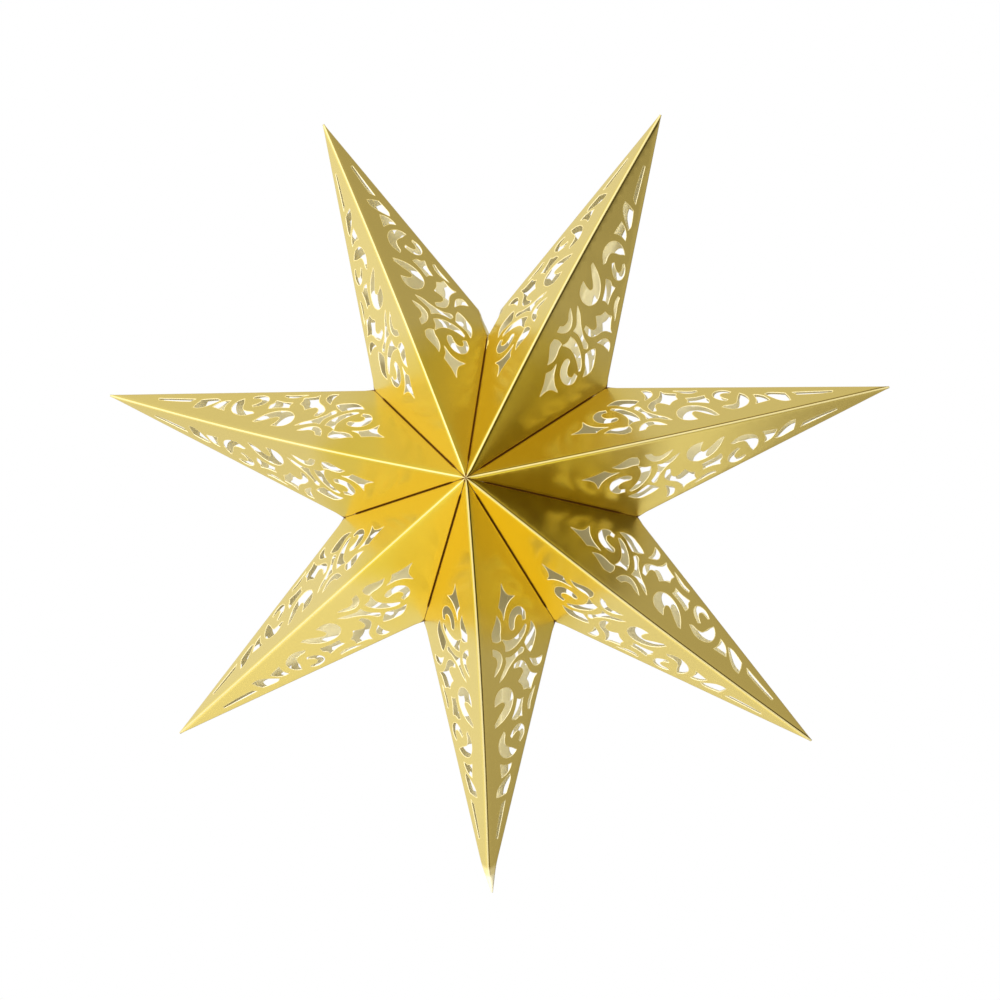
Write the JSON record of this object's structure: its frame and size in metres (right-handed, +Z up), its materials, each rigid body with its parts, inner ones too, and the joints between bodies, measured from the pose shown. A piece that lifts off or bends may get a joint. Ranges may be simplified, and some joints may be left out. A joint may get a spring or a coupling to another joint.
{
  "type": "paper star",
  "caption": "Hollow hanging star of folded gold card with scroll cut-outs in every facet, open inside for a lamp and gapped at the top for a cord.",
  "frame": {"origin": "centre of the star, on the axis through its front and back apexes and midway between them", "axes": "+Z up, from the centre through the closing seam and its hanging gap; the star faces -Y, and +Y is its depth; +X to the right seen from the front"},
  "size_m": [0.5996, 0.22, 0.587],
  "materials": {
    "gold_card": "satin metallic gold outside, pale uncoated card inside"
  },
  "bodies": {
    "root": {"star_point_1": "gold_card", "star_point_2": "gold_card", "star_point_3": "gold_card", "star_point_4": "gold_card", "star_point_5": "gold_card", "star_point_6": "gold_card", "star_point_7": "gold_card"}
  },
  "joints": []
}
